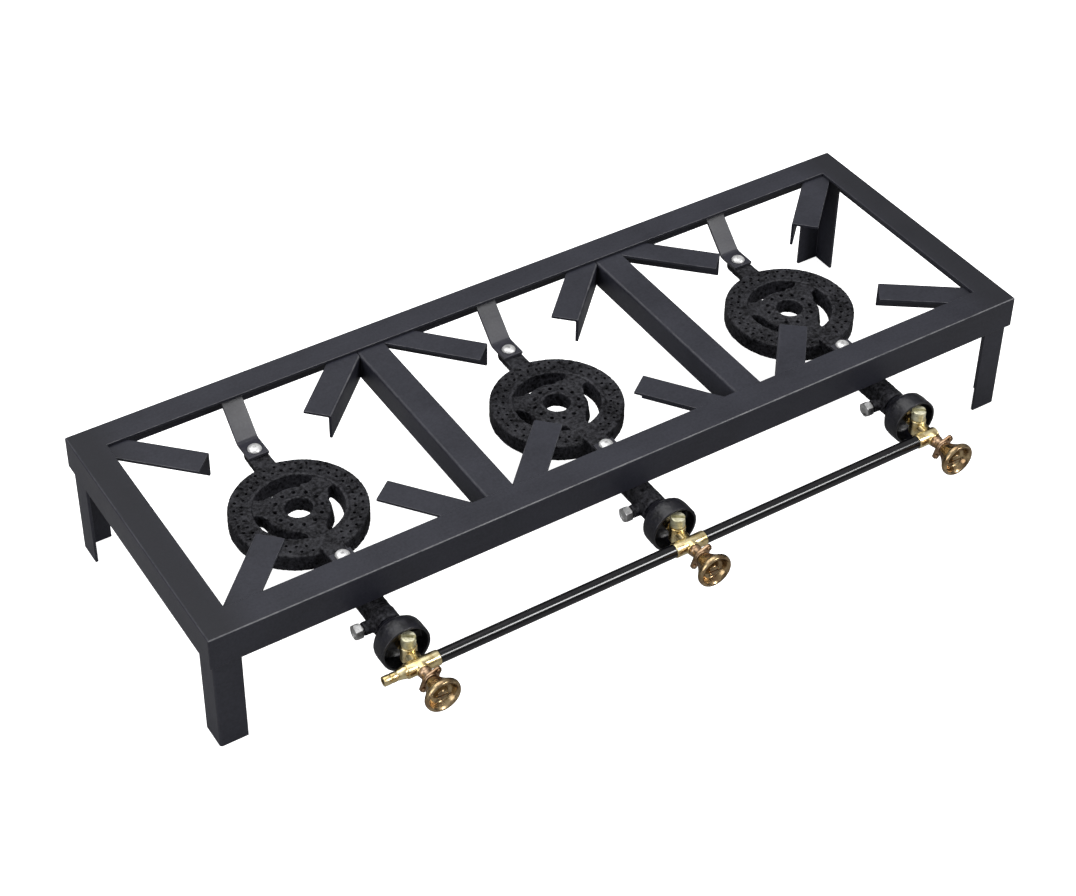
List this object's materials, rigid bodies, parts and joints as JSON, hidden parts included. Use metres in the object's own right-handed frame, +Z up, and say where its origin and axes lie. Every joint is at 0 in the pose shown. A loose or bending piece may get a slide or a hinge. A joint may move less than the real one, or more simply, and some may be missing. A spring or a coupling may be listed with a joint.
{
  "type": "gas burner stand",
  "caption": "Low welded angle-iron stand holding a row of cast-iron ring gas burners, each fed through its own brass tap and mixer from a shared black manifold pipe.",
  "frame": {"origin": "middle of the overall bounding box, at floor level under the feet", "axes": "+X along the row of burners, to the right as seen from the taps; -Y towards the taps; +Z up"},
  "size_m": [0.9, 0.418, 0.138],
  "materials": {
    "frame_paint": "satin charcoal paint over mill-finish angle iron",
    "strap_paint": "thin grey paint on flat bar",
    "cast_iron": "rough sand-cast skin with black heat-resistant coating",
    "zinc_plate": "bright zinc plate",
    "brass": "machined and tumbled yellow brass",
    "knob_bronze": "satin bronze-coloured plated metal",
    "pipe_gloss_black": "gloss black enamel"
  },
  "bodies": {
    "stand": {"front_rail": "frame_paint", "rear_rail": "frame_paint", "left_rail": "frame_paint", "right_rail": "frame_paint", "left_cross_bar": "frame_paint", "right_cross_bar": "frame_paint", "front_left_leg": "frame_paint", "front_right_leg": "frame_paint", "rear_left_leg": "frame_paint", "rear_right_leg": "frame_paint", "pot_support_left_front_left": "frame_paint", "pot_support_left_front_right": "frame_paint", "pot_support_left_rear_left": "frame_paint", "pot_support_left_rear_right": "frame_paint", "pot_support_middle_front_left": "frame_paint", "pot_support_middle_front_right": "frame_paint", "pot_support_middle_rear_left": "frame_paint", "pot_support_middle_rear_right": "frame_paint", "pot_support_right_front_left": "frame_paint", "pot_support_right_front_right": "frame_paint", "pot_support_right_rear_left": "frame_paint", "pot_support_right_rear_right": "frame_paint", "left_burner": "cast_iron", "left_front_strap": "strap_paint", "left_rear_strap": "strap_paint", "left_front_lug_screw": "zinc_plate", "left_rear_lug_screw": "zinc_plate", "left_rear_lug_nut": "zinc_plate", "left_mixer_bell": "cast_iron", "left_set_screw": "zinc_plate", "left_tap_body": "brass", "left_jet": "brass", "left_tap_plug": "zinc_plate", "middle_burner": "cast_iron", "middle_front_strap": "strap_paint", "middle_rear_strap": "strap_paint", "middle_front_lug_screw": "zinc_plate", "middle_rear_lug_screw": "zinc_plate", "middle_rear_lug_nut": "zinc_plate", "middle_mixer_bell": "cast_iron", "middle_set_screw": "zinc_plate", "middle_tap_body": "brass", "middle_jet": "brass", "middle_tap_plug": "zinc_plate", "right_burner": "cast_iron", "right_front_strap": "strap_paint", "right_rear_strap": "strap_paint", "right_front_lug_screw": "zinc_plate", "right_rear_lug_screw": "zinc_plate", "right_rear_lug_nut": "zinc_plate", "right_mixer_bell": "cast_iron", "right_set_screw": "zinc_plate", "right_tap_body": "brass", "right_jet": "brass", "right_tap_plug": "zinc_plate", "left_manifold_pipe": "pipe_gloss_black", "right_manifold_pipe": "pipe_gloss_black"},
    "left_tap_knob": {"left_knob": "knob_bronze"},
    "middle_tap_knob": {"middle_knob": "knob_bronze"},
    "right_tap_knob": {"right_knob": "knob_bronze"}
  },
  "joints": [
    {"name": "left_tap_turn", "type": "hinge", "parent": "stand", "child": "left_tap_knob", "pos_m": [-0.286, -0.1665, 0.083], "axis": [0, -1, 0], "range_deg": [0, 180]},
    {"name": "middle_tap_turn", "type": "hinge", "parent": "stand", "child": "middle_tap_knob", "pos_m": [0, -0.1665, 0.083], "axis": [0, -1, 0], "range_deg": [0, 180]},
    {"name": "right_tap_turn", "type": "hinge", "parent": "stand", "child": "right_tap_knob", "pos_m": [0.286, -0.1665, 0.083], "axis": [0, -1, 0], "range_deg": [0, 180]}
  ]
}
